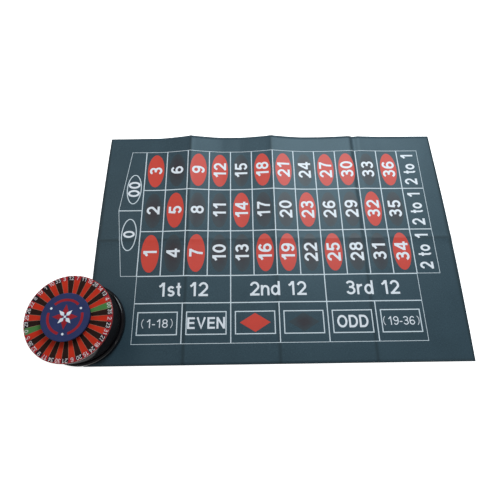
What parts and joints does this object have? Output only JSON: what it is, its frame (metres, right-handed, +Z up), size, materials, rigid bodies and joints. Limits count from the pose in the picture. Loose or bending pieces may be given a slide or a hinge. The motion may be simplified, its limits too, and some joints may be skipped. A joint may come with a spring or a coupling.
{
  "type": "electronic roulette game",
  "caption": "Round battery unit with a lit number dial and a central push button, standing on the corner of a creased felt betting cloth.",
  "frame": {"origin": "middle of the game's footprint, on the table", "axes": "+X along the cloth's length, away from the unit; +Y across the cloth, away from the player; +Z up"},
  "size_m": [0.6686, 0.41, 0.0732],
  "materials": {
    "felt": "thin non-woven felt, slate green",
    "black_gloss": "polished black styrene",
    "black_matte": "plain black plastic",
    "white_matte": "plain white plastic",
    "cell_jacket": "plain dark jacket",
    "nickel_plate": "nickel plated sheet",
    "spring_wire": "bright spring wire",
    "speaker_steel": "zinc plated sheet",
    "speaker_paper": "black pressed paper",
    "foot_rubber": "soft rubber",
    "screw_steel": "zinc plated steel",
    "dial_clear": "tinted clear styrene",
    "dial_print": "screen printed film",
    "board_green": "green solder mask",
    "lamp_resin": "clear lamp resin",
    "board_part": "plain component bodies",
    "button_blue": "blue moulded plastic",
    "label_print": "printed disc",
    "lead_red": "insulated wire",
    "lead_black": "insulated wire",
    "lead_yellow": "insulated wire"
  },
  "bodies": {
    "cloth": {"betting_cloth": "felt"},
    "wheel_unit": {"base_shell": "black_gloss", "battery_cells": "cell_jacket", "contact_plates": "nickel_plate", "contact_springs": "spring_wire", "speaker_frame": "speaker_steel", "speaker_magnet": "speaker_steel", "speaker_cone": "speaker_paper", "power_switch_body": "nickel_plate", "rubber_feet": "foot_rubber", "housing_screws": "screw_steel", "upper_shell": "black_gloss", "dial_lens": "dial_clear", "dial_film": "dial_print", "light_baffle": "white_matte", "main_board": "board_green", "board_screws": "screw_steel", "number_lamps": "lamp_resin", "sound_chip": "black_matte", "board_parts": "board_part", "push_switch": "black_matte", "push_switch_plunger": "white_matte", "button_guide": "white_matte", "guide_screws": "screw_steel", "return_spring": "spring_wire", "battery_leads": "lead_red", "speaker_leads": "lead_black", "switch_leads": "lead_yellow"},
    "push_button": {"button_cap": "button_blue", "button_label": "label_print"},
    "power_switch": {"power_slider": "black_matte"},
    "battery_cover": {"battery_door": "black_gloss"}
  },
  "joints": [
    {"name": "unit_lift", "type": "slide", "parent": "cloth", "child": "wheel_unit", "axis": [0, 0, 1], "range_m": [0, 0.1]},
    {"name": "button_press", "type": "slide", "parent": "wheel_unit", "child": "push_button", "axis": [0, 0, -1], "range_m": [0, 0.003], "stiffness_N_per_m": 400, "springref_m": -0.004, "deforming": ["return_spring"]},
    {"name": "power_slide", "type": "slide", "parent": "wheel_unit", "child": "power_switch", "axis": [1, 0, 0], "range_m": [0, 0.003]},
    {"name": "door_slide", "type": "slide", "parent": "wheel_unit", "child": "battery_cover", "axis": [-1, 0, 0], "range_m": [0, 0.07]}
  ]
}
